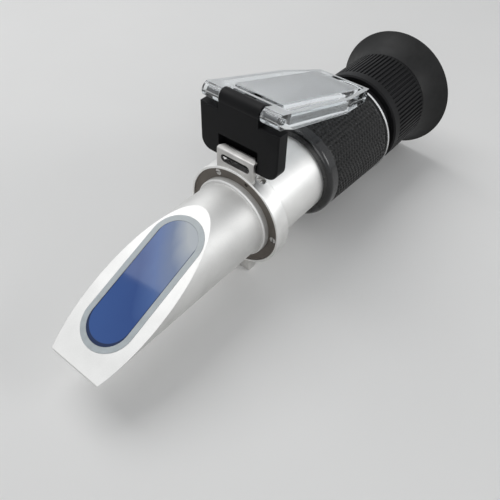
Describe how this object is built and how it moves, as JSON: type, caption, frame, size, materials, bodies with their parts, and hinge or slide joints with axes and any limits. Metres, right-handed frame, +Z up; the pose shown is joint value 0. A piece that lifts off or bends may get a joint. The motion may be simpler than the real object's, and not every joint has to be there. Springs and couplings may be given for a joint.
{
  "type": "handheld refractometer",
  "caption": "Handheld refractometer with a sloped prism nose, double-hinged clear cover plate, rubber grip, focusing ring and eyecup.",
  "frame": {"origin": "centre of the bounding box's bottom face, on the surface that the instrument rests on", "axes": "+X along the optical axis from the nose to the eyepiece, +Z up, +Y to complete a right-handed frame"},
  "size_m": [0.1582, 0.0442, 0.0605],
  "materials": {
    "nose_metal": "fine bead blasted, satin",
    "collar_metal": "satin turned",
    "flange_metal": "satin turned, darker",
    "tube_metal": "satin anodised",
    "bracket_steel": "brushed",
    "screw_steel": "machined",
    "black_metal": "black anodised",
    "bimetal": "rolled strip",
    "trim_ring": "polished",
    "band_plastic": "glossy black",
    "block_plastic": "satin black moulding",
    "black_plastic": "matt black",
    "grip_rubber": "moulded dot texture",
    "cup_rubber": "soft smooth black",
    "gasket": "translucent grey sealant",
    "prism_glass": "polished, blue reflection",
    "optical_glass": "coated",
    "clear_acrylic": "clear acrylic with a frosted inner face"
  },
  "bodies": {
    "optical_tube": {"prism_housing": "nose_metal", "prism_gasket": "gasket", "measuring_prism": "prism_glass", "collar_ring": "collar_metal", "flange_ring": "flange_metal", "flange_screws": "screw_steel", "collar_foot": "collar_metal", "hinge_bracket": "bracket_steel", "bracket_screws": "screw_steel", "swing_pin": "screw_steel", "main_tube": "tube_metal", "grip_front_band": "band_plastic", "rubber_grip": "grip_rubber", "grip_rear_ring": "trim_ring", "bimetal_strip": "bimetal", "strip_screw": "screw_steel", "field_stop": "black_metal", "reticle_seat": "black_metal", "reticle_disc": "optical_glass", "rear_bush": "black_plastic", "bush_clip": "screw_steel"},
    "hinge_block": {"hinge_block": "block_plastic", "cover_pin": "screw_steel"},
    "cover": {"cover_plate": "clear_acrylic"},
    "calibration_screw": {"calibration_screw": "screw_steel"},
    "objective": {"objective_cell": "black_metal", "objective_lens": "optical_glass", "objective_ring": "black_metal"},
    "focus_ring": {"focus_ring": "black_plastic", "eyecup": "cup_rubber"},
    "ocular": {"ocular_cell": "black_metal", "field_lens": "optical_glass", "eye_lens": "optical_glass", "lens_spacer": "black_metal", "lens_ring": "black_metal", "guide_pin": "screw_steel"}
  },
  "joints": [
    {"name": "block_swing", "type": "hinge", "parent": "optical_tube", "child": "hinge_block", "pos_m": [-0.01553, 0, 0.04311], "axis": [0, -1, 0], "range_deg": [0, 117.94]},
    {"name": "cover_flip", "type": "hinge", "parent": "hinge_block", "child": "cover", "pos_m": [-0.01402, 0, 0.0581], "axis": [0, -1, 0], "range_deg": [0, 102.3]},
    {"name": "calibration_turn", "type": "hinge", "parent": "optical_tube", "child": "calibration_screw", "pos_m": [-0.01408, 0, 0.0221], "axis": [0, -0.4163, 0.9092], "range_deg": [-180, 180]},
    {"name": "objective_shift", "type": "slide", "parent": "optical_tube", "child": "objective", "axis": [0, -0.4163, 0.9092], "range_m": [-0.0002, 0.0002]},
    {"name": "focus_turn", "type": "hinge", "parent": "optical_tube", "child": "focus_ring", "pos_m": [0.05708, 0, 0.0221], "axis": [1, 0, 0], "range_deg": [-180, 180]},
    {"name": "ocular_travel", "type": "slide", "parent": "optical_tube", "child": "ocular", "axis": [1, 0, 0], "range_m": [-0.0015, 0.0015]}
  ],
  "couplings": [
    {"joint": "calibration_turn", "follows": "objective_shift", "rad_per_m": 15700},
    {"joint": "ocular_travel", "follows": "focus_turn", "m_per_rad": 0.0004774}
  ]
}
